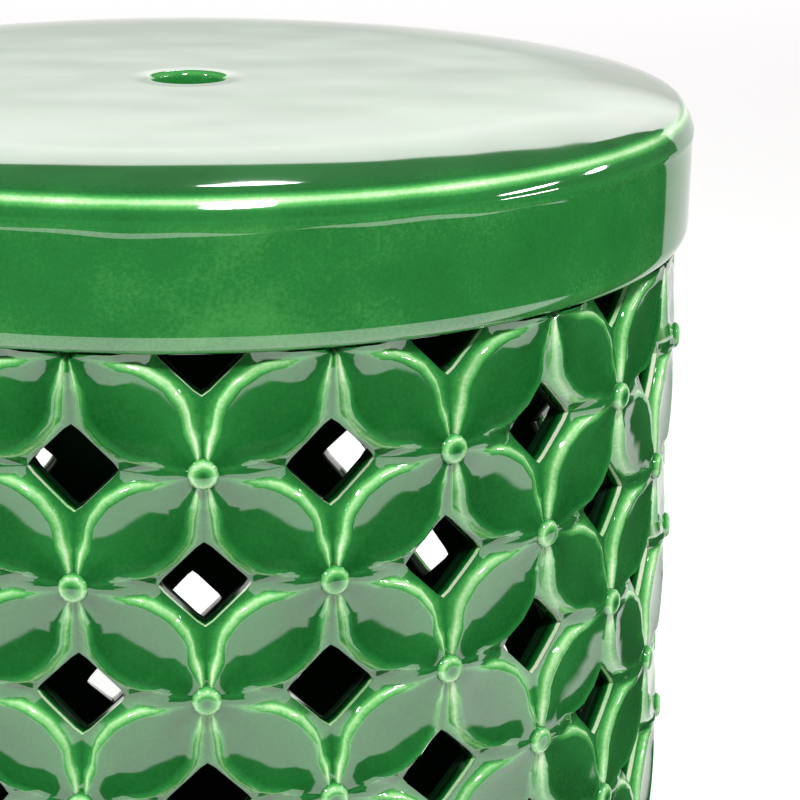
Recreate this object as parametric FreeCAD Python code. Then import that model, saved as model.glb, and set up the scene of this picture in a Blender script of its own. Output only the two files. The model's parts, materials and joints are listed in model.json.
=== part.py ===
import FreeCAD, Part
import math
import os

# Round ceramic garden stool: a crowned seat with one finger hole, a plain upper
# band with a rounded lip, a pierced wall of four-petal flowers with a boss at
# each flower centre, a plain lower band and an unglazed foot ring. The sections
# are luted together and fired as one body, so nothing on it moves.
# Millimetres, +Z up, origin on the floor at the centre of the foot.

# Heights of the sections, from the floor up
foot_height = 14.0
lower_band_height = 48.5
row_pitch = 34.0
row_count = 10
upper_band_height = 37.5
seat_side_height = 4.5
seat_edge_height = 2.0
seat_crown_height = 3.5

# Plain bands, which stand out past the grooves of the pierced wall
band_stand_out = 6.7
band_thickness = 15.7
band_end_lean = 0.8
band_end_height = 3.0
lip_round = 4.5

# Seat slab
seat_side_lean = 2.1
seat_edge_width = 1.8
seat_flat_radius = 132.0
finger_hole_radius = 12.0
finger_rim_round = 3.0

# Foot ring, set in a little from the grooves
foot_set_in = 0.5
foot_width = 13.0
foot_round = 3.0

# Pierced wall: flower centres and holes take turns around it and up it
column_count = 28
groove_radius = 160.5
wall_thickness = 9.5
hole_half_width = 13.7
hole_half_height = 13.5
petal_height = 3.7
petal_crown_length = 28.0
petal_crown_width = 12.0

# Bosses at the flower centres
boss_radius = 4.6
boss_top_radius = 3.0
boss_height = 5.5
boss_sides = 6
boss_seat_margin = 0.2

# Straight steps that a rounded outline is cut into
crown_steps = 2
round_steps = 2

# Levels, radii and angles that follow
lower_band_top = foot_height + lower_band_height
wall_top = lower_band_top + row_count * row_pitch
upper_band_top = wall_top + upper_band_height
seat_side_top = upper_band_top + seat_side_height
seat_top = seat_side_top + seat_edge_height + seat_crown_height
wall_inner_radius = groove_radius - wall_thickness
band_radius = groove_radius + band_stand_out
band_inner_radius = band_radius - band_thickness
band_end_radius = band_radius - band_end_lean
seat_radius = band_end_radius - seat_side_lean
foot_outer_radius = groove_radius - foot_set_in
foot_inner_radius = foot_outer_radius - foot_width
column_angle = 2 * math.pi / column_count
tile_half_angle = column_angle / 2
crown_radius = groove_radius + petal_height
boss_seat = (boss_radius + boss_seat_margin) * math.sqrt(2)

AXIS = FreeCAD.Vector(0, 0, 1)
ORIGIN = FreeCAD.Vector(0, 0, 0)


def at(radius, height):
    """Point of a section profile, in the plane through the axis and +X."""
    return FreeCAD.Vector(radius, 0, height)


def rounded(start, corner, end):
    """Points of a quarter round from start to end, drawn inside the corner."""
    points = []
    for step in range(round_steps + 1):
        angle = math.pi / 2 * step / round_steps
        points.append(start + (corner - start) * math.sin(angle) + (end - corner) * (1 - math.cos(angle)))
    return points


def turned(points):
    """Solid turned about the vertical axis from a closed profile of points."""
    profile = Part.makePolygon(points + [points[0]])
    return Part.Face(profile).revolve(ORIGIN, AXIS, 360)


def seat_slab():
    """Crowned disc with an eased edge and a finger hole in the middle."""
    crown_end = seat_radius - seat_edge_width
    crown = []
    for step in range(crown_steps + 1):
        share = step / crown_steps
        radius = seat_flat_radius + (crown_end - seat_flat_radius) * share
        crown.append(at(radius, seat_top - seat_crown_height * share ** 2))
    rim = rounded(
        at(finger_hole_radius, seat_top - finger_rim_round),
        at(finger_hole_radius, seat_top),
        at(finger_hole_radius + finger_rim_round, seat_top),
    )
    side = [at(seat_radius, seat_side_top), at(band_end_radius, upper_band_top)]
    return turned(rim + crown + side + [at(finger_hole_radius, upper_band_top)])


def band(plain_level, lip_level):
    """Plain ring that leans in at its plain end and ends in a rounded lip at the wall."""
    inwards = math.copysign(1, plain_level - lip_level)
    lip = rounded(
        at(band_radius, lip_level + inwards * lip_round),
        at(band_radius, lip_level),
        at(band_radius - lip_round, lip_level),
    )
    edge = [at(band_end_radius, plain_level), at(band_radius, plain_level - inwards * band_end_height)]
    inside = [at(band_inner_radius, lip_level), at(band_inner_radius, plain_level)]
    return turned(edge + lip + inside)


def foot_ring():
    """Bare ring that the stool stands on, eased at its outer foot."""
    return turned([
        at(foot_inner_radius, 0),
        at(foot_inner_radius, foot_height),
        at(foot_outer_radius, foot_height),
        at(foot_outer_radius, foot_round),
        at(foot_outer_radius - foot_round, 0),
    ])


def wall_point(column, out, across, height):
    """Point in the frame of a column: out from the axis, and across to the right."""
    angle = column * column_angle
    x = out * math.sin(angle) + across * math.cos(angle)
    y = across * math.sin(angle) - out * math.cos(angle)
    return FreeCAD.Vector(x, y, height)


def facet(*corners):
    """Flat face with these corners, in order."""
    return Part.Face(Part.makePolygon(list(corners) + [corners[0]]))


def closed_solid(faces):
    """Solid inside faces that meet edge to edge."""
    skin = Part.Compound(faces)
    skin.sewShape()
    return Part.Solid(skin.Shells[0])


def row_level(row):
    """Height of a row of flower centres and holes, counted down from the upper band."""
    return wall_top - row * row_pitch


def is_flower_centre(column, row):
    """Flower centres and holes take turns along each row and each column."""
    return (column + row) % 2 == 1


def groove_point(column, inwards, height):
    """Point on the round groove surface, beside a column line."""
    return wall_point(column, math.sqrt(groove_radius ** 2 - inwards ** 2), inwards, height)


def seat_point(column, inwards, height):
    """Point in the flat seat of a boss."""
    return wall_point(column, groove_radius, inwards, height)


def inner_point(column, inwards, height):
    """Point on the wall's inside, which is flat between two column lines."""
    out = (wall_inner_radius - abs(inwards) * math.sin(tile_half_angle)) / math.cos(tile_half_angle)
    return wall_point(column, out, inwards, height)


def petal_tile(column, row):
    """Faces of one petal, between two neighbouring columns and two neighbouring rows.

    The petal crosses the tile from one boss to the other, and a quarter of a
    hole cuts away each of the other two corners, through the whole wall.
    """
    centre_on_left = is_flower_centre(column, row)
    boss_column = column if centre_on_left else column + 1
    hole_column = column + 1 if centre_on_left else column
    side = hole_column - boss_column
    upper = row_level(row)
    lower = row_level(row + 1)

    seat_beside_upper = seat_point(boss_column, side * boss_seat, upper)
    seat_below_upper = seat_point(boss_column, 0, upper - boss_seat)
    seat_beside_lower = seat_point(hole_column, -side * boss_seat, lower)
    seat_above_lower = seat_point(hole_column, 0, lower + boss_seat)
    upper_hole_beside = groove_point(hole_column, -side * hole_half_width, upper)
    upper_hole_below = groove_point(hole_column, 0, upper - hole_half_height)
    lower_hole_beside = groove_point(boss_column, side * hole_half_width, lower)
    lower_hole_above = groove_point(boss_column, 0, lower + hole_half_height)

    inner_upper_beside = inner_point(hole_column, -side * hole_half_width, upper)
    inner_upper_below = inner_point(hole_column, 0, upper - hole_half_height)
    inner_lower_beside = inner_point(boss_column, side * hole_half_width, lower)
    inner_lower_above = inner_point(boss_column, 0, lower + hole_half_height)

    run = groove_radius * math.sin(tile_half_angle)
    rise = row_pitch / 2
    petal_half_run = math.hypot(run, rise)

    def crown_point(along, across):
        """Corner of the petal's crown, along it from its middle and across to the upper hole."""
        sideways = side * (along * run + across * rise) / petal_half_run
        upwards = (across * run - along * rise) / petal_half_run
        return wall_point(column + 0.5, crown_radius, sideways, (upper + lower) / 2 + upwards)

    crown_near_upper = crown_point(-petal_crown_length / 2, 0)
    crown_near_lower = crown_point(petal_crown_length / 2, 0)
    crown_by_upper_hole = crown_point(0, petal_crown_width / 2)
    crown_by_lower_hole = crown_point(0, -petal_crown_width / 2)

    return [
        facet(crown_near_upper, crown_by_upper_hole, crown_near_lower, crown_by_lower_hole),
        facet(seat_below_upper, seat_beside_upper, crown_near_upper),
        facet(seat_beside_upper, upper_hole_beside, crown_near_upper),
        facet(upper_hole_beside, crown_by_upper_hole, crown_near_upper),
        facet(upper_hole_beside, upper_hole_below, crown_by_upper_hole),
        facet(upper_hole_below, crown_near_lower, crown_by_upper_hole),
        facet(upper_hole_below, seat_above_lower, crown_near_lower),
        facet(seat_above_lower, seat_beside_lower, crown_near_lower),
        facet(seat_beside_lower, lower_hole_beside, crown_near_lower),
        facet(lower_hole_beside, crown_by_lower_hole, crown_near_lower),
        facet(lower_hole_beside, lower_hole_above, crown_by_lower_hole),
        facet(lower_hole_above, crown_near_upper, crown_by_lower_hole),
        facet(lower_hole_above, seat_below_upper, crown_near_upper),
        facet(upper_hole_beside, upper_hole_below, inner_upper_below, inner_upper_beside),
        facet(lower_hole_beside, lower_hole_above, inner_lower_above, inner_lower_beside),
    ]


def inner_side(column, inwards):
    """Outline of the flat inside beside a column line, from the top down, round its half holes."""
    points = []
    for row in range(row_count + 1):
        level = row_level(row)
        if not is_flower_centre(column, row):
            if row > 0:
                points.append(inner_point(column, 0, level + hole_half_height))
            points.append(inner_point(column, inwards * hole_half_width, level))
            if row < row_count:
                points.append(inner_point(column, 0, level - hole_half_height))
        elif row in (0, row_count):
            points.append(inner_point(column, 0, level))
    return points


def inner_strip(column):
    """Flat strip of the wall's inside between two neighbouring columns."""
    left = inner_side(column, 1)
    right = inner_side(column + 1, -1)
    return facet(*left, *reversed(right))


def boss_seat_face(column, row):
    """Square flat that carries a boss, with its corners in the four grooves."""
    level = row_level(row)
    return facet(
        seat_point(column, 0, level + boss_seat),
        seat_point(column, boss_seat, level),
        seat_point(column, 0, level - boss_seat),
        seat_point(column, -boss_seat, level),
    )


def wall_end(column, row, inwards):
    """Flat end of the wall between two half holes, and the half flat of its clipped flower."""
    level = row_level(row)
    left_seat = seat_point(column, -boss_seat, level)
    right_seat = seat_point(column, boss_seat, level)
    end = facet(
        groove_point(column - 1, hole_half_width, level),
        left_seat,
        right_seat,
        groove_point(column + 1, -hole_half_width, level),
        inner_point(column + 1, -hole_half_width, level),
        inner_point(column, 0, level),
        inner_point(column - 1, hole_half_width, level),
    )
    half_flat = facet(left_seat, right_seat, seat_point(column, 0, level + inwards * boss_seat))
    return [end, half_flat]


def pierced_wall():
    """One hollow wall, patterned from the petal tiles and closed at its two ends."""
    faces = []
    for column in range(column_count):
        faces.append(inner_strip(column))
        for row in range(row_count):
            faces.extend(petal_tile(column, row))
        for row in range(1, row_count):
            if is_flower_centre(column, row):
                faces.append(boss_seat_face(column, row))
        if is_flower_centre(column, 0):
            faces.extend(wall_end(column, 0, -1))
        if is_flower_centre(column, row_count):
            faces.extend(wall_end(column, row_count, 1))
    return closed_solid(faces)


def boss_outline(column, level, radius, out):
    """Corners of a boss's regular outline at a distance from the stool's axis."""
    corners = []
    for corner in range(boss_sides):
        angle = 2 * math.pi * corner / boss_sides
        corners.append(wall_point(column, out, radius * math.sin(angle), level + radius * math.cos(angle)))
    return corners


def boss(column, row):
    """Tapered stud on the flat at a flower centre."""
    level = row_level(row)
    foot = boss_outline(column, level, boss_radius, groove_radius)
    top = boss_outline(column, level, boss_top_radius, groove_radius + boss_height)
    faces = [facet(*foot), facet(*top)]
    for corner in range(boss_sides):
        faces.append(facet(foot[corner - 1], foot[corner], top[corner], top[corner - 1]))
    return closed_solid(faces)


def bosses():
    """All the studs, as separate solids."""
    studs = []
    for row in range(1, row_count):
        for column in range(column_count):
            if is_flower_centre(column, row):
                studs.append(boss(column, row))
    return Part.Compound(studs)


PIECES = {
    "seat_slab": seat_slab(),
    "upper_band": band(upper_band_top, wall_top),
    "pierced_wall": pierced_wall(),
    "bosses": bosses(),
    "lower_band": band(foot_height, lower_band_top),
    "foot_ring": foot_ring(),
}

os.makedirs("parts", exist_ok=True)
for name, shape in PIECES.items():
    shape.exportStep(f"parts/{name}.step")
    print(name, len(shape.Solids), "solids", round(shape.Volume), "mm3", shape.isValid())
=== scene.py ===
import json
import logging
import math
from dataclasses import dataclass
from enum import Enum
from typing import Callable, Sequence

import bmesh
import bpy
from mathutils import Matrix, Vector

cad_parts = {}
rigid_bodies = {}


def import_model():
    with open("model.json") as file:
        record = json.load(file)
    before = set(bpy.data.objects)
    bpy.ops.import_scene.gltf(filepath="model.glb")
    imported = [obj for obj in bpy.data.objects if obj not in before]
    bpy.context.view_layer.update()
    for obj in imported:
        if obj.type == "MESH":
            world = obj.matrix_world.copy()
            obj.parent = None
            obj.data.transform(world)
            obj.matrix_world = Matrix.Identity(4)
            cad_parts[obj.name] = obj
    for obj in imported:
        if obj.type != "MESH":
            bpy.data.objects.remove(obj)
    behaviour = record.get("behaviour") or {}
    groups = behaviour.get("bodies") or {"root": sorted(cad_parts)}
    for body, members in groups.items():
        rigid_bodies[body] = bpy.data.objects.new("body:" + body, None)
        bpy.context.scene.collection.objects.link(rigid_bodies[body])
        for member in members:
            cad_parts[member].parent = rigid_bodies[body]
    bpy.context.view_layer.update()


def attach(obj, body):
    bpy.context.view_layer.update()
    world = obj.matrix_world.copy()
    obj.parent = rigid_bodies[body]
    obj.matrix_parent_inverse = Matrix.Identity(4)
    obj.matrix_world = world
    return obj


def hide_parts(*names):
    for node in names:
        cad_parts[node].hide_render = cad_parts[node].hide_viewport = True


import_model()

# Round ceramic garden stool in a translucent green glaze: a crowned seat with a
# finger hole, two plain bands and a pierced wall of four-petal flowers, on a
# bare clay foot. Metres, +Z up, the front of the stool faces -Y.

MM = 0.001
LOG = logging.getLogger("garden_stool")
# Point attribute of glaze depth; depths past 1 paint the inside of the wall near black as painted shade
POOL_AND_SHADE = "glaze_pool_and_inside_shade"
ROUND_SEGMENTS = 224
MERGE_DISTANCE = 0.01 * MM


class Slot(Enum):
    """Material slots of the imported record."""

    GREEN_GLAZE = "green_glaze"
    BARE_FOOT = "bare_foot"


@dataclass(frozen=True)
class RingPoint:
    """One ring of a turned piece.

    Args:
        radius: Distance from the stool's axis in millimetres.
        height: Height above the floor in millimetres.
        pool: Glaze depth there, from 0 on bare edges to 1 where it pools.
    """

    radius: float
    height: float
    pool: float


def only(piece: bpy.types.Object) -> None:
    """Makes one object the active and only selected one.

    Args:
        piece: Object to select.
    """
    for other in bpy.context.view_layer.objects:
        other.select_set(False)
    piece.select_set(True)
    bpy.context.view_layer.objects.active = piece


def mix(ends: tuple[float, float], share: float) -> float:
    """Value at a share of the way from the first end to the second."""
    return ends[0] + (ends[1] - ends[0]) * share


def edit_all() -> None:
    """Opens the active mesh in edit mode with all of it selected."""
    bpy.ops.object.mode_set(mode="EDIT")
    bpy.ops.mesh.select_all(action="SELECT")


def select_vertices(piece: bpy.types.Object, wanted: Callable[[Vector], bool]) -> None:
    """Selects vertices in edit mode by their place.

    Args:
        piece: Mesh object in edit mode.
        wanted: Says for a place in metres whether that vertex is selected.
    """
    bpy.ops.mesh.select_mode(type="VERT")
    bpy.ops.mesh.select_all(action="DESELECT")
    shape = bmesh.from_edit_mesh(piece.data)
    for vertex in shape.verts:
        vertex.select = wanted(vertex.co)
    shape.select_flush(True)
    bmesh.update_edit_mesh(piece.data)


def apply_modifier(piece: bpy.types.Object, kind: str, **settings: object) -> None:
    """Adds a modifier with its settings and applies it.

    Args:
        piece: Object that takes the modifier.
        kind: Blender's name for the kind of modifier.
        settings: Values to set on the modifier.
    """
    only(piece)
    modifier = piece.modifiers.new(kind.title(), kind)
    for key, value in settings.items():
        setattr(modifier, key, value)
    bpy.ops.object.modifier_apply(modifier=modifier.name)


def face_outwards(piece: bpy.types.Object) -> None:
    """Merges doubles, then turns every face outwards.

    Args:
        piece: Closed mesh object.
    """
    only(piece)
    edit_all()
    bpy.ops.mesh.remove_doubles(threshold=MERGE_DISTANCE)
    bpy.ops.mesh.normals_make_consistent(inside=False)
    bpy.ops.object.mode_set(mode="OBJECT")


def turned(name: str, rings: Sequence[RingPoint], smooth_degrees: float = 38.0) -> bpy.types.Object:
    """Turns a closed section about the stool's axis, ring by ring.

    Args:
        name: Name of the new piece.
        rings: Section from its first point round to its last, without a repeat.
        smooth_degrees: Edges that bend less than this are shaded smooth.

    Returns:
        The closed piece, with its glaze depth in a point attribute.
    """
    first = rings[0]
    bpy.ops.mesh.primitive_circle_add(
        vertices=ROUND_SEGMENTS, radius=first.radius * MM, location=(0, 0, first.height * MM)
    )
    piece = bpy.context.active_object
    piece.name = name
    piece.data.name = name
    bpy.ops.object.transform_apply(location=True, rotation=True, scale=True)
    edit_all()
    before = first
    for ring in [*rings[1:], first]:
        bpy.ops.mesh.extrude_edges_move()
        growth = ring.radius / before.radius
        bpy.ops.transform.resize(value=(growth, growth, 1), center_override=(0, 0, 0))
        bpy.ops.transform.translate(value=(0, 0, (ring.height - before.height) * MM))
        before = ring
    bpy.ops.object.mode_set(mode="OBJECT")
    pool = piece.data.attributes.new(POOL_AND_SHADE, "FLOAT", "POINT")
    depths = [ring.pool for ring in [*rings, first]]
    for index, value in enumerate(pool.data):
        value.value = depths[index // ROUND_SEGMENTS]
    face_outwards(piece)
    bpy.ops.object.shade_smooth_by_angle(angle=math.radians(smooth_degrees))
    return piece


def linear(hex_colour: str) -> tuple[float, float, float, float]:
    """Turns an sRGB hex colour into the linear values that a shader takes.

    Args:
        hex_colour: Six hex digits with a leading hash.

    Returns:
        Linear red, green and blue, and an alpha of 1.
    """
    channels = []
    for start in (1, 3, 5):
        value = int(hex_colour[start:start + 2], 16) / 255
        channels.append(value / 12.92 if value <= 0.04045 else ((value + 0.055) / 1.055) ** 2.4)
    return (*channels, 1.0)


def add_node(
    tree: bpy.types.NodeTree,
    kind: str,
    settings: dict[str, object] | None = None,
    links: dict[str, bpy.types.NodeSocket] | None = None,
) -> bpy.types.Node:
    """Adds a shader node with its settings and links.

    Args:
        tree: Node tree that gets the node.
        kind: Blender's type name of the node.
        settings: Socket values by socket name or number, and node options by name.
        links: Sockets of other nodes by the name or number of the socket they feed.

    Returns:
        The new node.
    """
    node = tree.nodes.new(kind)
    for key, value in (settings or {}).items():
        if hasattr(node, str(key)):
            setattr(node, key, value)
        else:
            node.inputs[key].default_value = value
    for key, source in (links or {}).items():
        tree.links.new(source, node.inputs[key])
    return node


def set_stops(ramp: bpy.types.Node, stops: Sequence[tuple[float, str]]) -> None:
    """Gives a colour ramp its stops.

    Args:
        ramp: Colour ramp node.
        stops: Places from 0 to 1 and their sRGB hex colours.
    """
    elements = ramp.color_ramp.elements
    while len(elements) < len(stops):
        elements.new(1.0)
    for element, (place, colour) in zip(elements, stops):
        element.position = place
        element.color = linear(colour)


def new_material(name: str) -> tuple[bpy.types.Material, bpy.types.NodeTree]:
    """Makes a material with an empty node tree.

    Args:
        name: Name of the material.

    Returns:
        The material and its node tree.
    """
    material = bpy.data.materials.new(name)
    material.use_nodes = True
    material.node_tree.nodes.clear()
    return material, material.node_tree


@dataclass(frozen=True)
class GreenGlaze:
    """Glossy translucent copper-green glaze, poured and fired over a white body.

    It gives a deep green where it pools, a pale green where it thins over an
    edge, a little cloudy mottling, and sharp wavy reflections.
    """

    bare: str = "#faf5e4"
    thinnest: str = "#c4f4b4"
    thin: str = "#5fbc60"
    even: str = "#2a833b"
    deep: str = "#135c23"
    deepest_pool_and_shade: str = "#022009"
    cloud_mm: float = 26.0
    cloud_share: float = 0.28
    speck_mm: float = 1.1
    speck_share: float = 0.17
    pattern_middle: float = 0.235
    wave_mm: float = 46.0
    wave_depth_mm: float = 0.45
    roughness: float = 0.05
    gloss: float = 0.5
    ior: float = 1.7
    inside_roughness: float = 0.7
    inside_gloss: float = 0.05
    inside_depths: tuple[float, float] = (1.05, 1.3)

    def material(self) -> bpy.types.Material:
        """Builds the glaze material.

        Returns:
            The material, which reads the glaze depth from a point attribute.
            Depths past 1 mark the inside of the wall, which is dull and takes
            the darkest colour as painted shade.
        """
        material, tree = new_material("green_glaze_over_white_body")
        place = add_node(tree, "ShaderNodeTexCoord").outputs["Object"]
        pool = add_node(tree, "ShaderNodeAttribute", {"attribute_name": POOL_AND_SHADE}).outputs["Fac"]
        depth = pool
        for size, detail, roughness, share in (
            (self.cloud_mm, 3.0, 0.55, self.cloud_share),
            (self.speck_mm, 2.0, 0.6, self.speck_share),
        ):
            pattern = add_node(
                tree, "ShaderNodeTexNoise",
                {"Scale": 1 / (size * MM), "Detail": detail, "Roughness": roughness},
                {"Vector": place},
            )
            depth = add_node(
                tree, "ShaderNodeMath", {"operation": "MULTIPLY_ADD", 1: share},
                {0: pattern.outputs["Fac"], 2: depth},
            ).outputs[0]
        centred = add_node(
            tree, "ShaderNodeMath", {"operation": "SUBTRACT", 1: self.pattern_middle}, {0: depth}
        )
        colour = add_node(tree, "ShaderNodeValToRGB", links={"Fac": centred.outputs[0]})
        # The last stop is the deepest pooled glaze; depths past 1 clamp to it, so it also paints the
        # inside of the wall near black as painted shade
        set_stops(colour, [
            (0.0, self.bare),
            (0.06, self.thinnest),
            (0.26, self.thin),
            (0.5, self.even),
            (0.76, self.deep),
            (1.0, self.deepest_pool_and_shade),
        ])
        wave = add_node(
            tree, "ShaderNodeTexNoise",
            {"Scale": 1 / (self.wave_mm * MM), "Detail": 1.0},
            {"Vector": place},
        )
        bump = add_node(
            tree, "ShaderNodeBump",
            {"Strength": 1.0, "Distance": self.wave_depth_mm * MM},
            {"Height": wave.outputs["Fac"]},
        )
        links = {"Base Color": colour.outputs["Color"], "Normal": bump.outputs["Normal"]}
        low, high = self.inside_depths
        for socket, outside, inside in (
            ("Roughness", self.roughness, self.inside_roughness),
            ("Specular IOR Level", self.gloss, self.inside_gloss),
        ):
            change = add_node(
                tree, "ShaderNodeMapRange",
                {"From Min": low, "From Max": high, "To Min": outside, "To Max": inside},
                {"Value": pool},
            )
            links[socket] = change.outputs["Result"]
        shader = add_node(tree, "ShaderNodeBsdfPrincipled", {"IOR": self.ior}, links)
        add_node(tree, "ShaderNodeOutputMaterial", links={"Surface": shader.outputs["BSDF"]})
        return material


@dataclass(frozen=True)
class BareClay:
    """Unglazed off-white earthenware, trimmed and sponged before firing.

    It gives a matt chalky foot with fine grog specks and a faint tan blush.
    """

    body: str = "#ded3bd"
    blush: str = "#c9b491"
    blush_mm: float = 30.0
    grog_mm: float = 0.9
    grog_share: float = 0.4
    grog_depth_mm: float = 0.12
    grog_strength: float = 0.8
    roughness: float = 0.85
    ior: float = 1.5

    def material(self) -> bpy.types.Material:
        """Builds the clay material.

        Returns:
            The material, mottled and rough all over.
        """
        material, tree = new_material("bare_earthenware")
        place = add_node(tree, "ShaderNodeTexCoord").outputs["Object"]
        blush = add_node(
            tree, "ShaderNodeTexNoise",
            {"Scale": 1 / (self.blush_mm * MM), "Detail": 4.0}, {"Vector": place},
        )
        grog = add_node(
            tree, "ShaderNodeTexNoise",
            {"Scale": 1 / (self.grog_mm * MM), "Detail": 3.0}, {"Vector": place},
        )
        mixed = add_node(
            tree, "ShaderNodeMath", {"operation": "MULTIPLY_ADD", 1: self.grog_share},
            {0: grog.outputs["Fac"], 2: blush.outputs["Fac"]},
        )
        colour = add_node(tree, "ShaderNodeValToRGB", links={"Fac": mixed.outputs[0]})
        set_stops(colour, [(0.45, self.body), (0.95, self.blush)])
        bump = add_node(
            tree, "ShaderNodeBump",
            {"Strength": self.grog_strength, "Distance": self.grog_depth_mm * MM},
            {"Height": grog.outputs["Fac"]},
        )
        shader = add_node(
            tree, "ShaderNodeBsdfPrincipled",
            {"Roughness": self.roughness, "IOR": self.ior},
            {"Base Color": colour.outputs["Color"], "Normal": bump.outputs["Normal"]},
        )
        add_node(tree, "ShaderNodeOutputMaterial", links={"Surface": shader.outputs["BSDF"]})
        return material


@dataclass(frozen=True)
class GlowingBackdrop:
    """Lit white backdrop behind the stool, brighter towards its top."""

    tint: str = "#fff8fb"
    low_level: float = 1.1
    high_level: float = 2.3
    low_height: float = 1.05
    high_height: float = 1.5

    def material(self) -> bpy.types.Material:
        """Builds the backdrop material, from heights in metres.

        Returns:
            The material, which only glows.
        """
        material, tree = new_material("lit_white_backdrop")
        place = add_node(tree, "ShaderNodeTexCoord").outputs["Object"]
        axes = add_node(tree, "ShaderNodeSeparateXYZ", links={"Vector": place})
        level = add_node(
            tree, "ShaderNodeMapRange",
            {"From Min": self.low_height, "From Max": self.high_height,
             "To Min": self.low_level, "To Max": self.high_level},
            {"Value": axes.outputs["Z"]},
        )
        glow = add_node(
            tree, "ShaderNodeEmission", {"Color": linear(self.tint)},
            {"Strength": level.outputs["Result"]},
        )
        add_node(tree, "ShaderNodeOutputMaterial", links={"Surface": glow.outputs["Emission"]})
        return material


@dataclass(frozen=True)
class StudioPaper:
    """White paper sheet under and behind the stool, on a dark studio floor.

    The sheet reads as white in gloss. In front and to the right the studio floor
    keeps gloss dark. The camera sees white all over, with the stool's shadow.
    Reaches are metres from the stool's axis, and lifts are levels of light.
    """

    white: str = "#ececea"
    dark: str = "#262626"
    roughness: float = 0.9
    front_lift: float = 1.42
    rear_lift: float = 0.5
    front_reach: float = 1.04
    right_reach: float = 0.33
    right_start: float = -0.1
    side_turn: float = 0.2
    side_slope: float = 1.26
    side_length: float = 10.0
    foot_reach: float = 0.16
    edge: float = 0.05

    def sheet(
        self, tree: bpy.types.NodeTree, place: bpy.types.NodeSocket
    ) -> tuple[bpy.types.NodeSocket, bpy.types.NodeSocket]:
        """Adds nodes that tell the sheet from the floor round it.

        Args:
            tree: Node tree of the floor material.
            place: Object coordinates, in metres from the stool's axis.

        Returns:
            Socket that gives 1 on the sheet and 0 off it, and one that gives 0 under the stool.
        """
        axes = add_node(tree, "ShaderNodeSeparateXYZ", links={"Vector": place})
        reach = add_node(tree, "ShaderNodeVectorMath", {"operation": "LENGTH"}, {0: place})
        behind = add_node(
            tree, "ShaderNodeMapRange",
            {"From Min": self.side_turn, "From Max": self.side_turn + self.side_length,
             "To Max": self.side_length * self.side_slope},
            {"Value": axes.outputs["Y"]},
        )
        aside = add_node(
            tree, "ShaderNodeMath", {"operation": "SUBTRACT"},
            {0: axes.outputs["X"], 1: behind.outputs["Result"]},
        )
        # Each edge goes from 0 at the first value to 1 at the second
        within, ahead, near, back, clear = (
            add_node(
                tree, "ShaderNodeMapRange", {"From Min": off, "From Max": on}, {"Value": value}
            ).outputs["Result"]
            for value, off, on in (
                (aside.outputs[0], self.right_reach + self.edge, self.right_reach),
                (axes.outputs["Y"], self.right_start + self.edge, self.right_start),
                (reach.outputs["Value"], self.front_reach + self.edge, self.front_reach),
                (axes.outputs["Y"], self.side_turn - self.edge, self.side_turn),
                (reach.outputs["Value"], self.foot_reach, self.foot_reach + self.edge),
            )
        )
        deep_enough, wide_enough = (
            add_node(tree, "ShaderNodeMath", {"operation": "MAXIMUM"}, {0: first, 1: second})
            for first, second in ((near, back), (within, ahead))
        )
        sheet = add_node(
            tree, "ShaderNodeMath", {"operation": "MINIMUM"},
            {0: deep_enough.outputs[0], 1: wide_enough.outputs[0]},
        )
        return sheet.outputs[0], clear

    def material(self) -> bpy.types.Material:
        """Builds the paper material.

        Returns:
            The material, which looks different to the camera and in gloss.
        """
        material, tree = new_material("white_paper_on_dark_floor")
        place = add_node(tree, "ShaderNodeTexCoord").outputs["Object"]
        sheet, clear = self.sheet(tree, place)
        path = add_node(tree, "ShaderNodeLightPath")
        white = add_node(
            tree, "ShaderNodeMath", {"operation": "MAXIMUM"},
            {0: sheet, 1: path.outputs["Is Camera Ray"]},
        )
        colour = add_node(tree, "ShaderNodeValToRGB", links={"Fac": white.outputs[0]})
        set_stops(colour, [(0.0, self.dark), (1.0, self.white)])
        paper = add_node(
            tree, "ShaderNodeBsdfPrincipled", {"Roughness": self.roughness},
            {"Base Color": colour.outputs["Color"]},
        )
        mirrored = add_node(
            tree, "ShaderNodeMath", {"operation": "MAXIMUM"},
            {0: path.outputs["Is Glossy Ray"], 1: path.outputs["Is Transmission Ray"]},
        )
        axes = add_node(tree, "ShaderNodeSeparateXYZ", links={"Vector": place})
        level = add_node(
            tree, "ShaderNodeMapRange",
            {"From Min": self.right_start, "From Max": self.side_turn,
             "To Min": self.front_lift, "To Max": self.rear_lift},
            {"Value": axes.outputs["Y"]},
        )
        in_gloss = level.outputs["Result"]
        for factor in (sheet, mirrored.outputs[0]):
            in_gloss = add_node(
                tree, "ShaderNodeMath", {"operation": "MULTIPLY"}, {0: factor, 1: in_gloss}
            ).outputs[0]
        in_all = add_node(
            tree, "ShaderNodeMath", {"operation": "MULTIPLY_ADD", 1: self.rear_lift},
            {0: path.outputs["Is Camera Ray"], 2: in_gloss},
        )
        strength = add_node(
            tree, "ShaderNodeMath", {"operation": "MULTIPLY"}, {0: in_all.outputs[0], 1: clear}
        )
        glow = add_node(tree, "ShaderNodeEmission", links={"Strength": strength.outputs[0]})
        both = add_node(
            tree, "ShaderNodeAddShader",
            links={0: paper.outputs["BSDF"], 1: glow.outputs["Emission"]},
        )
        add_node(tree, "ShaderNodeOutputMaterial", links={"Surface": both.outputs["Shader"]})
        return material


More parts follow.
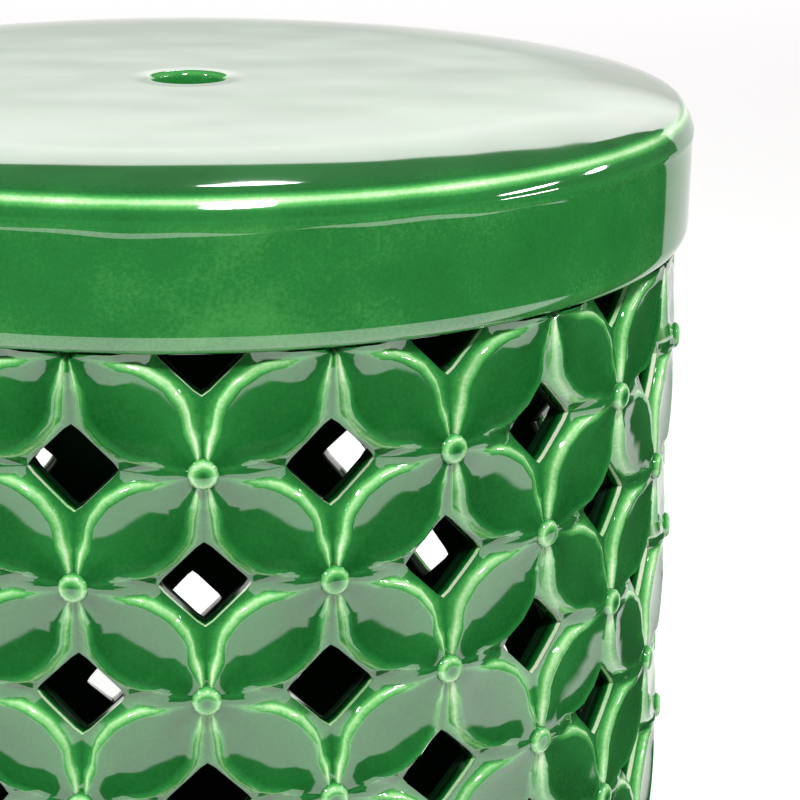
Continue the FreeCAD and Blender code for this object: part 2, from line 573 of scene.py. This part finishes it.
def arc(
    start: tuple[float, float], corner: tuple[float, float], end: tuple[float, float],
    steps: int, pools: tuple[float, float, float],
) -> list[RingPoint]:
    """Rings of a quarter round drawn inside a corner.

    Args:
        start: Radius and height where the round starts, in millimetres.
        corner: Radius and height of the sharp corner that it rounds.
        end: Radius and height where the round ends.
        steps: Number of straight steps.
        pools: Glaze depth at the start, half way and end.

    Returns:
        Rings from start to end, both included.
    """
    rings = []
    for step in range(steps + 1):
        share = step / steps
        angle = math.pi / 2 * share
        forth, across = math.sin(angle), 1 - math.cos(angle)
        radius = start[0] + (corner[0] - start[0]) * forth + (end[0] - corner[0]) * across
        height = start[1] + (corner[1] - start[1]) * forth + (end[1] - corner[1]) * across
        pool = mix(pools[:2], share * 2) if share < 0.5 else mix(pools[1:], share * 2 - 1)
        rings.append(RingPoint(radius, height, pool))
    return rings


@dataclass(frozen=True)
class Shoulder:
    """Rounded side of the seat, from its break line down to the upper band."""

    band_radius: float = 167.15
    foot: float = 437.0
    height: float = 7.4
    lean: float = 2.95
    bend: float = 1.8

    def radius(self, height: float) -> float:
        """Radius of the side at a height, in millimetres."""
        share = max((height - self.foot) / self.height, 0.0)
        return self.band_radius - self.lean * share ** self.bend

    def rings(self, heights: Sequence[float], pools: Sequence[float]) -> list[RingPoint]:
        """Rings of the side at these heights, with their glaze depths."""
        return [RingPoint(self.radius(height), height, pool) for height, pool in zip(heights, pools)]


@dataclass
class Seat:
    """Crowned seat slab with an eased shoulder and a finger hole."""

    hole_radius: float = 12.0
    rim_round: float = 2.0
    flat_radius: float = 118.0
    crown_radius: float = 161.6
    crown_drop: float = 3.4
    crown_bend: float = 2.2
    crown_steps: int = 8
    top: float = 449.95
    joint_height: float = 440.0
    joint_step: float = 0.8
    hole_pool: float = 0.66
    rim_pools: tuple[float, float, float] = (0.48, 0.36, 0.56)
    rim_steps: int = 5
    puddle_width: float = 8.0
    puddle_pool: float = 0.62
    crown_pool: float = 0.6
    crown_pool_gain: float = 0.1
    # Distance outwards and down from the crown's end, and glaze depth
    edge: tuple[tuple[float, float, float], ...] = ((1.3, 0.65, 0.45), (2.2, 1.45, 0.14))
    side_heights: tuple[float, ...] = (444.4, 443.5, 442.2)
    side_pools: tuple[float, ...] = (0.06, 0.3, 0.6)
    joint_pools: tuple[float, float] = (0.64, 0.6)

    def section(self) -> list[RingPoint]:
        """Draws the closed section of the slab.

        Returns:
            Rings from the underside of the hole, over the top and down to the joint.
        """
        side = Shoulder()
        rings = [RingPoint(self.hole_radius, self.joint_height, self.hole_pool)]
        rings += arc(
            (self.hole_radius, self.top - self.rim_round),
            (self.hole_radius, self.top),
            (self.hole_radius + self.rim_round, self.top),
            self.rim_steps, self.rim_pools,
        )
        rings.append(RingPoint(self.hole_radius + self.puddle_width, self.top, self.puddle_pool))
        for step in range(self.crown_steps + 1):
            share = step / self.crown_steps
            radius = mix((self.flat_radius, self.crown_radius), share)
            height = self.top - self.crown_drop * share ** self.crown_bend
            rings.append(RingPoint(radius, height, self.crown_pool + self.crown_pool_gain * share))
        crown_end = self.top - self.crown_drop
        for out, down, pool in self.edge:
            rings.append(RingPoint(self.crown_radius + out, crown_end - down, pool))
        rings += side.rings(self.side_heights, self.side_pools)
        above, below = self.joint_height + self.joint_step, self.joint_height - self.joint_step
        rings.append(RingPoint(side.radius(above), above, self.joint_pools[0]))
        middle = (side.radius(above) + side.radius(below)) / 2
        rings.append(RingPoint(middle, self.joint_height, self.joint_pools[1]))
        return rings

    def build(self) -> bpy.types.Object:
        """Builds the slab.

        Returns:
            The finished piece.
        """
        piece = turned("seat_glazed", self.section())
        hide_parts("seat_slab")
        return piece


@dataclass(frozen=True)
class Wave:
    """Smooth rise and fall round the stool.

    Args:
        size: How far it goes to either side of nothing.
        count: Number of crests round the stool.
        lead: Turn by which one of its crests comes before the front, in radians.
    """

    size: float
    count: int
    lead: float

    def at(self, turn: float) -> float:
        """Value at a turn from the front, in radians."""
        return self.size * math.cos(self.count * (turn + self.lead))


@dataclass
class Band:
    """Plain glazed band that leans in at its plain end and ends in a rounded lip."""

    name: str
    node: str
    plain_height: float
    lip_height: float
    outer_radius: float = 166.75
    crest_radius: float = 167.18
    plain_radius: float = 166.54
    inner_radius: float = 151.5
    inner_pool: float = 0.9
    lip_rise: float = 6.2
    lip_depth: float = 4.4
    lip_steps: int = 8
    lip_pools: tuple[float, float, float] = (0.5, 0.4, 0.7)
    run_zone: tuple[float, float] = (1.4, 6.7)
    run_sway: float = 0.8
    run_waves: tuple[Wave, ...] = (Wave(0.7, 9, 0.05), Wave(0.3, 31, 0.12))
    run_fade: float = 0.3
    fade_waves: tuple[Wave, ...] = (Wave(0.2, 14, -0.12), Wave(0.1, 5, -0.12))

    def section(self) -> list[RingPoint]:
        """Draws the closed section of the band.

        Returns:
            Rings from its plain end to its lip and back inside.
        """
        up = math.copysign(1, self.plain_height - self.lip_height)
        # Radius, distance from the plain end and glaze depth of each ring
        steps = (
            (self.plain_radius, 0.0, 0.58), (self.plain_radius + 0.4, 0.8, 0.56),
            (self.crest_radius - 0.02, 1.5, 0.5), (self.crest_radius, 2.4, 0.47),
            (self.outer_radius + 0.21, 3.2, 0.48), (self.outer_radius + 0.01, 4.0, 0.5),
            (self.outer_radius, 6.6, 0.52), (self.outer_radius, 18.0, 0.54),
        )
        rings = [RingPoint(radius, self.plain_height - up * down, pool) for radius, down, pool in steps]
        rings += arc(
            (self.outer_radius, self.lip_height + up * self.lip_rise),
            (self.outer_radius, self.lip_height),
            (self.outer_radius - self.lip_depth, self.lip_height),
            self.lip_steps, self.lip_pools,
        )
        for height in (self.lip_height, self.plain_height):
            rings.append(RingPoint(self.inner_radius, height, self.inner_pool))
        return rings

    def let_glaze_run(self, piece: bpy.types.Object) -> None:
        """Lets the run of glaze near the plain end rise and fall, and fade in places.

        Args:
            piece: Turned band.
        """
        start, end = self.run_zone
        for vertex in piece.data.vertices:
            place = vertex.co
            radius, down = math.hypot(place.x, place.y) / MM, abs(place.z / MM - self.plain_height)
            if radius < self.outer_radius or not start < down < end:
                continue
            turn = math.atan2(place.x, -place.y)
            fade = sum((wave.at(turn) for wave in self.fade_waves), self.run_fade)
            growth = 1 - (radius - self.outer_radius) * fade / radius
            sway = sum(wave.at(turn) for wave in self.run_waves)
            place.x, place.y = place.x * growth, place.y * growth
            place.z -= self.run_sway * sway * MM

    def build(self) -> bpy.types.Object:
        """Builds the band.

        Returns:
            The finished piece.
        """
        piece = turned(self.name, self.section())
        self.let_glaze_run(piece)
        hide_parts(self.node)
        return piece


@dataclass
class FootRing:
    """Bare clay ring that the stool stands on."""

    outer_radius: float = 159.9
    inner_radius: float = 147.0
    height: float = 14.0
    outer_round: float = 2.8
    outer_steps: int = 4
    inner_round: float = 1.2
    inner_steps: int = 3

    def section(self) -> list[RingPoint]:
        """Draws the closed section of the ring, with no glaze on it.

        Returns:
            Rings from its outer top edge, under its foot and up to its inner top edge.
        """
        bare = (0.0, 0.0, 0.0)
        rings = [RingPoint(self.outer_radius, self.height, 0.0)]
        rings += arc(
            (self.outer_radius, self.outer_round), (self.outer_radius, 0),
            (self.outer_radius - self.outer_round, 0), self.outer_steps, bare,
        )
        rings += arc(
            (self.inner_radius + self.inner_round, 0), (self.inner_radius, 0),
            (self.inner_radius, self.inner_round), self.inner_steps, bare,
        )
        rings.append(RingPoint(self.inner_radius, self.height, 0.0))
        return rings

    def build(self) -> bpy.types.Object:
        """Builds the ring.

        Returns:
            The finished piece.
        """
        piece = turned("foot_bare_clay", self.section())
        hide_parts("foot_ring")
        return piece


@dataclass
class Lattice:
    """Where the flowers lie: columns round the stool, and rows down from the upper band."""

    groove_radius: float = 160.5
    columns: int = 28
    rows: int = 10
    row_pitch: float = 34.0
    top: float = 402.5


@dataclass(frozen=True)
class PetalSide:
    """Section and glaze of one side of a petal, from its hollow out to its foot.

    Args:
        steps: Distances in from the foot of the hollow, the crest and the edge, in millimetres.
        middle: Glaze depths of the hollow, crest, edge and foot, by the holes.
        upright: The same by a boss, beside an upright groove.
        level: The same by a boss, beside a level groove.
        fullness: How much the side widens between the holes, as a share of the tile.
    """

    steps: tuple[float, float, float]
    middle: tuple[float, float, float, float]
    upright: tuple[float, float, float, float]
    level: tuple[float, float, float, float]
    fullness: float


@dataclass
class PetalWall(Lattice):
    """Pierced wall: one petal tile, mirrored sideways, repeated in shifted rows and rolled up.

    A tile runs from a boss at its upper left to one at its lower right, with a
    quarter of a hole in each of the other corners. Places in it are given along
    the petal, from -1 to 1 between the bosses, and across it, from -1 to 1
    between the middles of the holes.
    """

    wall_thickness: float = 7.5
    hole_half_width: float = 13.7
    hole_half_height: float = 13.5
    hole_corner_cut: float = 0.6
    hole_corner: float = 0.385
    # A pair gives a size by the holes, and by a boss
    groove_half_width: tuple[float, float] = (2.3, 0.9)
    crest_height: tuple[float, float] = (3.2, 3.3)
    dish_depth: tuple[float, float] = (1.4, 0.0)
    hollow_dish: float = 0.25
    crest_lean: float = 0.6
    hollow_lean: float = 0.7
    edge_height: float = 0.6
    step_shares: tuple[float, float, float] = (0.5, 0.7, 0.87)
    edge_sink: float = 0.25
    groove_sink: float = 0.35
    groove_rise: float = 1.9
    boss_start: float = 0.82
    level_full: float = 0.68
    level_ridge: float = 3.75
    upper: PetalSide = PetalSide(
        (3.7, 2.0, 0.8),
        middle=(0.56, 0.24, 0.1, 0.4), upright=(0.6, 0.24, 0.0, 0.22),
        level=(0.66, 0.5, 0.44, 0.6), fullness=0.0,
    )
    lower: PetalSide = PetalSide(
        (4.8, 2.7, 1.2),
        middle=(0.72, 0.48, 0.14, 0.36), upright=(0.58, 0.1, 0.0, 0.14),
        level=(0.72, 0.7, 0.7, 0.72), fullness=0.05,
    )
    dish_pool: float = 0.68
    dish_pool_gain: float = 0.06
    groove_pool: float = 0.62
    tip_pool: float = 0.9
    cut_steps: tuple[float, float, float] = (0.3, 1.1, 0.6)
    # Glaze depth of a cut edge up to a depth in the wall, in millimetres
    cut_pools: tuple[tuple[float, float], ...] = ((1.5, 0.03), (2.1, 0.7))
    # Depth past any glaze, which paints the inside of the wall near black as painted shade
    inside_shade_pool: float = 1.5
    round_centre: float = -0.206
    round_radius: float = 0.754
    straight_start: float = 0.9
    widest: float = 0.59
    stations: tuple[float, ...] = (0.0, 0.26, 0.385, 0.53, 0.68, 0.82, 0.9, 1.0)
    tip_start: float = 0.95
    seam_cells: int = 6
    smooth_degrees: float = 50.0

    @property
    def half_width(self) -> float:
        """Half of a tile's width along the groove surface, in millimetres."""
        return math.pi * self.groove_radius / self.columns

    @property
    def half_height(self) -> float:
        """Half of a tile's height, in millimetres."""
        return self.row_pitch / 2

    @property
    def half_length(self) -> float:
        """Distance from the middle of a petal to a boss, in millimetres."""
        return math.hypot(self.half_width, self.half_height)

    def place(self, along: float, across: float) -> tuple[float, float]:
        """Turns a place in the tile into millimetres.

        Args:
            along: Place along the petal.
            across: Place across it, towards the upper hole.

        Returns:
            Distance to the right and up from the lower right boss.
        """
        a, b = self.half_width, self.half_height
        return a * (along + across - 1), b * (1 - along + across)

    def edge_place(self, along: float) -> tuple[float, float]:
        """Where the tile ends on the upper hole's side: at a groove, or at the hole's edge.

        Args:
            along: Place along the petal.

        Returns:
            Distance to the right and up from the lower right boss, in millimetres.
        """
        width, height = 2 * self.half_width, 2 * self.half_height
        reach = abs(along)
        half = self.hole_half_width if along < 0 else self.hole_half_height
        side = width if along < 0 else height
        if reach >= self.hole_corner:
            corner = half - self.hole_corner_cut
            share = (reach - self.hole_corner) / (1 - self.hole_corner)
            away = corner + (side - corner) * share
            return (-away, height) if along < 0 else (0.0, height - away)
        share = 0.5 * (1 - along / self.hole_corner)
        return -self.hole_half_width * share, height - self.hole_half_height * (1 - share)

    def side_form(self, side: int) -> PetalSide:
        """Form of the side towards the upper hole for 1, and of the other for -1."""
        return self.upper if side > 0 else self.lower

    def towards_boss(self, along: float, end: float) -> float:
        """How near a place along the petal is to its boss, from 0 by the holes to 1 at the end."""
        share = min(max((along - self.hole_corner) / (end - self.hole_corner), 0.0), 1.0)
        return share * share * (3 - 2 * share)

    def petal_edge(self, along: float, side: int) -> float:
        """Half width of the petal's foot at a place along it, fuller on its lower side.

        Args:
            along: Place along the petal, 0 or more.
            side: 1 for the side towards the upper hole, -1 for the other.

        Returns:
            Half width as a share of the tile.
        """
        groove = mix(self.groove_half_width, self.towards_boss(along, self.boss_start))
        straight = 1 - along - groove / (0.5 * (self.half_width + self.half_height))
        if along >= self.round_radius / math.sqrt(2):
            return max(straight, 0.0)
        rounded = self.round_centre + math.sqrt(self.round_radius ** 2 - along ** 2)
        rounded = min(rounded + self.side_form(side).fullness, self.widest)
        return min(rounded, straight) if along > self.straight_start * self.hole_corner else rounded

    def level_fill(self, station: float, side: int) -> float:
        """How far glaze and clay fill the groove beside a petal, from 0 to 1 by a boss.

        Args:
            station: Place along the petal.
            side: 1 for the side towards the upper hole, -1 for the other.

        Returns:
            Share of the ridge's height, which is 0 beside an upright groove.
        """
        return self.towards_boss(abs(station), self.level_full) if side * station < 0 else 0.0

    def groove_level(self, station: float, side: int) -> float:
        """Height of a petal's foot above the groove surface, in millimetres.

        Args:
            station: Place along the petal.
            side: 1 for the side towards the upper hole, -1 for the other.

        Returns:
            Height of the foot.
        """
        rise = self.groove_rise * self.towards_boss(abs(station), self.boss_start)
        return max(rise, self.level_ridge * self.level_fill(station, side))

    def cross_section(self, station: float, side: int) -> list[tuple[float, float, float]]:
        """Half of the section across the petal, from its middle to the groove.

        The glaze has run down, so it is thin on the upper side and thick on the
        lower side, which also stands out a little more. By a boss it is thin
        beside the upright grooves and thick beside the level ones.

        Args:
            station: Place along the petal.
            side: 1 for the side towards the upper hole, -1 for the other.

        Returns:
            Place across the petal, height in millimetres and glaze depth of each point.
        """
        along = abs(station)
        if along > self.tip_start:
            return [(0.0, 0.0, self.tip_pool)] * (len(self.step_shares) + 2)
        form = self.side_form(side)
        near = self.towards_boss(along, self.boss_start)
        foot = self.petal_edge(along, side)
        width = foot * self.half_length
        floor = self.groove_level(station, side)
        middle = mix(self.crest_height, near)
        dish = mix(self.dish_depth, near)
        lean = side * self.crest_lean * (1 - max(near, self.level_fill(station, side)))
        crest = middle - lean
        hollow = middle - self.hollow_dish * dish - self.hollow_lean * lean
        edge = floor + self.edge_height * (crest - floor)
        inwards = [
            max(width - step, width * share) / self.half_length
            for step, share in zip(form.steps, self.step_shares)
        ]
        boss_pools = form.level if side * station < 0 else form.upright
        pools = [mix(ends, near) for ends in zip(form.middle, boss_pools)]
        return list(zip(
            (0.0, *inwards, foot),
            (middle - dish, hollow, crest, edge, floor),
            (self.dish_pool + self.dish_pool_gain * near, *pools),
        ))

    def tile(self) -> bpy.types.Object:
        """Shapes one flat tile from a grid.

        Returns:
            The tile, which faces -Y and has its lower right boss at the origin.
        """
        along = [-place for place in reversed(self.stations[1:])] + list(self.stations)
        half = len(self.step_shares) + 2
        columns = 2 * half + 1
        bpy.ops.mesh.primitive_grid_add(
            x_subdivisions=columns - 1, y_subdivisions=len(along) - 1, size=1
        )
        piece = bpy.context.active_object
        mesh = piece.data
        pool = mesh.attributes.new(POOL_AND_SHADE, "FLOAT", "POINT")
        for index, vertex in enumerate(mesh.vertices):
            row, column = divmod(index, columns)
            side = column - half
            station = along[row]
            if abs(side) == half:
                sink = self.groove_sink * (1 - self.level_fill(station, side))
                out = self.groove_level(station, side) - sink
                if abs(station) <= self.hole_corner:
                    out = -self.edge_sink
                elif abs(station) > self.tip_start:
                    out = 0.0
                depth = self.groove_pool
                right, up = self.edge_place(math.copysign(1, side) * station)
                if side < 0:
                    right, up = -2 * self.half_width - right, 2 * self.half_height - up
            else:
                across, out, depth = self.cross_section(
                    station, 1 if side > 0 else -1
                )[abs(side)]
                right, up = self.place(station, math.copysign(across, side))
            vertex.co = Vector((right, -out, up)) * MM
            pool.data[index].value = depth
        return piece

    def cut_edges(self, piece: bpy.types.Object) -> None:
        """Draws the two hole edges of a tile inwards through the wall, and closes its inside.

        Args:
            piece: Flat tile in edit mode.
        """
        a, b = 2 * self.half_width * MM, 2 * self.half_height * MM
        wide, high = self.hole_half_width * MM, self.hole_half_height * MM
        edge_limit = 1.01

        def on_hole(place: Vector) -> bool:
            """Tells whether a place lies on the edge of one of the tile's quarter holes.

            Args:
                place: Place in the flat tile, in metres.

            Returns:
                True on a hole's edge, which lies a little behind the groove surface.
            """
            upper = abs(place.x) / wide + abs(place.z - b) / high
            lower = abs(place.x + a) / wide + abs(place.z) / high
            return min(upper, lower) < edge_limit and place.y > MERGE_DISTANCE

        def on_boss(place: Vector) -> bool:
            """Whether a place is the middle of one of the tile's two bosses."""
            return min(place.length, (place - Vector((-a, 0, b))).length) < MERGE_DISTANCE

        thickness = self.wall_thickness * MM
        rest = thickness - (sum(self.cut_steps) + self.edge_sink) * MM
        select_vertices(piece, on_hole)
        for depth in (*(step * MM for step in self.cut_steps), rest):
            bpy.ops.mesh.extrude_edges_move()
            bpy.ops.transform.translate(value=(0, depth, 0))
        select_vertices(piece, on_boss)
        bpy.ops.mesh.extrude_verts_indiv()
        bpy.ops.transform.translate(value=(0, thickness, 0))
        select_vertices(piece, lambda place: place.y > thickness - MERGE_DISTANCE)
        bpy.ops.mesh.edge_face_add()
        bpy.ops.mesh.select_all(action="SELECT")
        bpy.ops.mesh.delete_loose(use_verts=True, use_edges=True, use_faces=False)

    def glaze_cuts(self, piece: bpy.types.Object) -> None:
        """Gives the cut hole edges their glaze depth, and the inside painted shade.

        Args:
            piece: Flat tile in object mode.
        """
        pool = piece.data.attributes[POOL_AND_SHADE]
        for index, vertex in enumerate(piece.data.vertices):
            depth = vertex.co.y / MM - self.edge_sink
            if depth > self.cut_steps[0] / 2:
                cuts = [value for limit, value in self.cut_pools if depth < limit]
                # Past the cut steps the inside gets a depth past any glaze: painted shade that colours
                # it near black
                pool.data[index].value = cuts[0] if cuts else self.inside_shade_pool

    def build(self) -> bpy.types.Object:
        """Builds the whole wall.

        Returns:
            The finished piece.
        """
        piece = self.tile()
        piece.name = "petal_wall_glazed"
        piece.data.name = piece.name
        only(piece)
        edit_all()
        bpy.ops.mesh.remove_doubles(threshold=MERGE_DISTANCE)
        self.cut_edges(piece)
        bpy.ops.object.mode_set(mode="OBJECT")
        self.glaze_cuts(piece)
        apply_modifier(piece, "MIRROR", use_axis=(True, False, False), merge_threshold=MERGE_DISTANCE)
        cell_width = 4 * self.half_width * MM
        cell_height = 4 * self.half_height * MM
        repeats = (
            (2, (cell_width / 2, 0, -cell_height / 2)),
            (self.rows // 2, (0, 0, -cell_height)),
            (self.columns // 2, (cell_width, 0, 0)),
        )
        for count, offset in repeats:
            apply_modifier(
                piece, "ARRAY", count=count, use_relative_offset=False,
                use_constant_offset=True, constant_offset_displace=offset,
                use_merge_vertices=True, merge_threshold=MERGE_DISTANCE,
            )
        edit_all()
        bpy.ops.transform.translate(
            value=(-self.seam_cells * cell_width, 0, self.top * MM - cell_height / 2)
        )
        bpy.ops.object.mode_set(mode="OBJECT")
        # The shifted rows make the strip one column longer than the way round
        turn = 2 * math.pi * (self.columns + 1) / self.columns
        apply_modifier(
            piece, "SIMPLE_DEFORM", deform_method="BEND", deform_axis="Z", angle=turn
        )
        edit_all()
        bpy.ops.transform.translate(value=(0, -self.groove_radius * MM, 0))
        bpy.ops.mesh.remove_doubles(threshold=2 * MERGE_DISTANCE)
        bpy.ops.mesh.fill_holes(sides=0)
        bpy.ops.mesh.normals_make_consistent(inside=False)
        bpy.ops.object.mode_set(mode="OBJECT")
        bpy.ops.object.shade_smooth_by_angle(angle=math.radians(self.smooth_degrees))
        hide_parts("pierced_wall")
        return piece


@dataclass
class Bosses(Lattice):
    """Round dimpled bosses at the flower centres."""

    sides: int = 12
    # Radius, height above the groove surface and glaze depth of each ring
    section: tuple[tuple[float, float, float], ...] = (
        (4.6, 0.0, 0.7),
        (4.5, 3.3, 0.56),
        (4.2, 4.3, 0.26),
        (3.3, 5.05, 0.12),
        (1.8, 5.25, 0.4),
    )
    dimple_height: float = 5.2
    dimple_pool: float = 0.75

    def stud(self) -> bpy.types.Object:
        """Shapes one boss.

        Returns:
            The boss, which faces -Y in front of the stool's axis, at height 0.
        """
        radius, height, _ = self.section[0]
        bpy.ops.mesh.primitive_circle_add(
            vertices=self.sides, radius=radius * MM, fill_type="NOTHING",
            location=(0, -(self.groove_radius + height) * MM, 0), rotation=(math.pi / 2, 0, 0),
        )
        piece = bpy.context.active_object
        bpy.ops.object.transform_apply(location=True, rotation=True, scale=True)
        edit_all()
        for (before, low, _), (after, high, _) in zip(self.section, self.section[1:]):
            bpy.ops.mesh.extrude_edges_move()
            growth = after / before
            bpy.ops.transform.resize(value=(growth, 1, growth), center_override=(0, 0, 0))
            bpy.ops.transform.translate(value=(0, -(high - low) * MM, 0))
        bpy.ops.mesh.extrude_edges_move()
        bpy.ops.transform.translate(value=(0, (self.section[-1][1] - self.dimple_height) * MM, 0))
        bpy.ops.mesh.merge(type="CENTER")
        bpy.ops.mesh.select_all(action="SELECT")
        bpy.ops.mesh.fill_holes(sides=0)
        bpy.ops.object.mode_set(mode="OBJECT")
        pool = piece.data.attributes.new(POOL_AND_SHADE, "FLOAT", "POINT")
        depths = [*(depth for _, _, depth in self.section), self.dimple_pool]
        for index, value in enumerate(pool.data):
            value.value = depths[min(index // self.sides, len(self.section))]
        return piece

    def build(self) -> bpy.types.Object:
        """Builds all the bosses.

        Returns:
            The finished piece, with every boss in it.
        """
        master = self.stud()
        copies = []
        for row in range(1, self.rows):
            for column in range(self.columns):
                if (row + column) % 2 == 0:
                    continue
                copy = master.copy()
                copy.data = master.data.copy()
                bpy.context.collection.objects.link(copy)
                turn = Matrix.Rotation(2 * math.pi * column / self.columns, 4, "Z")
                rise = Matrix.Translation((0, 0, (self.top - row * self.row_pitch) * MM))
                copy.data.transform(rise @ turn)
                copies.append(copy)
        bpy.data.objects.remove(master)
        only(copies[0])
        for copy in copies:
            copy.select_set(True)
        bpy.ops.object.join()
        piece = bpy.context.active_object
        piece.name = "bosses_glazed"
        piece.data.name = piece.name
        edit_all()
        bpy.ops.mesh.normals_make_consistent(inside=False)
        bpy.ops.object.mode_set(mode="OBJECT")
        bpy.ops.object.shade_smooth()
        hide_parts("bosses")
        return piece


@dataclass
class PhotoCamera:
    """Camera at the photograph's angle, close to the upper right of the stool."""

    lens_mm: float = 100.5
    sensor_mm: float = 36.0
    distance_mm: float = 741.0
    height_mm: float = 575.0
    place_degrees: float = 0.73
    heading_degrees: float = 6.26
    pitch_degrees: float = 17.79
    roll_degrees: float = -0.69
    clip_metres: tuple[float, float] = (0.01, 100.0)

    def build(self) -> bpy.types.Object:
        """Places the camera and makes it the scene's own.

        Returns:
            The camera.
        """
        pitch = math.radians(self.pitch_degrees)
        heading = math.radians(self.heading_degrees)
        roll = math.radians(self.roll_degrees)
        place = math.radians(self.place_degrees)
        forward = Vector((
            math.sin(heading) * math.cos(pitch), math.cos(heading) * math.cos(pitch),
            -math.sin(pitch),
        ))
        right = Vector((math.cos(heading), -math.sin(heading), 0))
        down = forward.cross(right)
        right_rolled = math.cos(roll) * right + math.sin(roll) * down
        down_rolled = math.cos(roll) * down - math.sin(roll) * right
        data = bpy.data.cameras.new("photo_camera")
        data.lens = self.lens_mm
        data.sensor_width = self.sensor_mm
        data.clip_start, data.clip_end = self.clip_metres
        camera = bpy.data.objects.new("photo_camera", data)
        bpy.context.scene.collection.objects.link(camera)
        turn = Matrix((right_rolled, -down_rolled, -forward)).transposed().to_4x4()
        turn.translation = Vector((
            -self.distance_mm * math.sin(place), -self.distance_mm * math.cos(place), self.height_mm
        )) * MM
        camera.matrix_world = turn
        bpy.context.scene.camera = camera
        return camera


@dataclass(frozen=True)
class SoftBox:
    """Soft box with an oval front.

    Args:
        name: Name of the lamp.
        place: Where it hangs, in metres.
        size: Width and height of its front, in metres.
        power: Radiant power in watts.
    """

    name: str
    place: tuple[float, float, float]
    size: tuple[float, float]
    power: float

    def hang(self, aim: Vector) -> None:
        """Hangs the box.

        Args:
            aim: Point that it faces, in metres.
        """
        data = bpy.data.lights.new(self.name, "AREA")
        data.shape = "ELLIPSE"
        data.size, data.size_y = self.size
        data.energy = self.power
        lamp = bpy.data.objects.new(self.name, data)
        bpy.context.scene.collection.objects.link(lamp)
        lamp.location = self.place
        lamp.rotation_mode = "QUATERNION"
        lamp.rotation_quaternion = (aim - Vector(self.place)).to_track_quat("-Z", "Y")


@dataclass
class Studio:
    """White paper floor, lit backdrop, dim room and soft boxes."""

    floor_size: float = 16.0
    room_level: float = 0.125
    backdrop_size: tuple[float, float] = (9.0, 2.2)
    backdrop_place: tuple[float, float] = (0.3, 4.6)
    lamp_aim: tuple[float, float, float] = (0.0, 0.0, 0.4)
    lamps: tuple[SoftBox, ...] = (
        SoftBox("main_lamp", (0.28, -1.4, 2.0), (0.48, 0.22), 36.0),
        SoftBox("left_lamp", (-1.6, -0.8, 1.8), (0.3, 0.3), 24.0),
        SoftBox("right_lamp", (1.56, -0.36, 1.08), (0.5, 0.07), 7.0),
        SoftBox("far_right_lamp", (1.5, 0.22, 1.0), (0.2, 0.08), 2.2),
        SoftBox("rear_lamp", (0.16, 2.48, 1.98), (0.24, 0.24), 3.4),
    )

    def floor(self) -> None:
        """Lays the paper that the stool stands on."""
        bpy.ops.mesh.primitive_grid_add(
            x_subdivisions=8, y_subdivisions=8, size=self.floor_size, location=(0, 0, 0)
        )
        paper = bpy.context.active_object
        paper.name = "paper_floor"
        paper.data.materials.append(StudioPaper().material())

    def backdrop(self) -> None:
        """Stands the lit backdrop behind the stool, facing it."""
        wide, high = self.backdrop_size
        bpy.ops.mesh.primitive_grid_add(x_subdivisions=2, y_subdivisions=2, size=1)
        card = bpy.context.active_object
        card.name = "white_backdrop"
        card.data.transform(
            Matrix.Translation((*self.backdrop_place, high / 2))
            @ Matrix.Rotation(math.pi / 2, 4, "X")
            @ Matrix.Diagonal((wide, high, 1, 1))
        )
        card.data.materials.append(GlowingBackdrop().material())

    def world(self) -> None:
        """Fills the room with a little even light, as from the dark walls of a studio."""
        world = bpy.data.worlds.new("studio_room")
        world.use_nodes = True
        tree = world.node_tree
        tree.nodes.clear()
        back = add_node(
            tree, "ShaderNodeBackground", {"Color": (1, 1, 1, 1), "Strength": self.room_level}
        )
        add_node(tree, "ShaderNodeOutputWorld", links={"Surface": back.outputs["Background"]})
        bpy.context.scene.world = world

    def build(self) -> None:
        """Sets up the whole studio."""
        self.floor()
        self.backdrop()
        self.world()
        for lamp in self.lamps:
            lamp.hang(Vector(self.lamp_aim))
        bpy.context.scene.view_settings.view_transform = "Standard"


def coat(piece: bpy.types.Object, material: bpy.types.Material) -> None:
    """Gives a piece its one material, and reports the piece.

    Args:
        piece: Finished piece.
        material: Its finish.
    """
    piece.data.materials.clear()
    piece.data.materials.append(material)
    LOG.info("%s: %d faces", piece.name, len(piece.data.polygons))


def main() -> None:
    """Builds the stool and the studio round it."""
    logging.basicConfig(level=logging.INFO, format="%(name)s: %(message)s")
    bpy.ops.object.select_all(action="DESELECT")
    PhotoCamera().build()
    Studio().build()
    glaze = GreenGlaze().material()
    clay = BareClay().material()
    upper = Band("upper_band_glazed", "upper_band", plain_height=440.0, lip_height=402.5)
    lower = Band("lower_band_glazed", "lower_band", plain_height=14.0, lip_height=62.5)
    for maker in (Seat(), upper, PetalWall(), Bosses(), lower):
        piece = maker.build()
        coat(piece, glaze)
        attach(piece, "root")
    foot = FootRing().build()
    coat(foot, clay)
    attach(foot, "root")


if __name__ == "__main__":
    main()
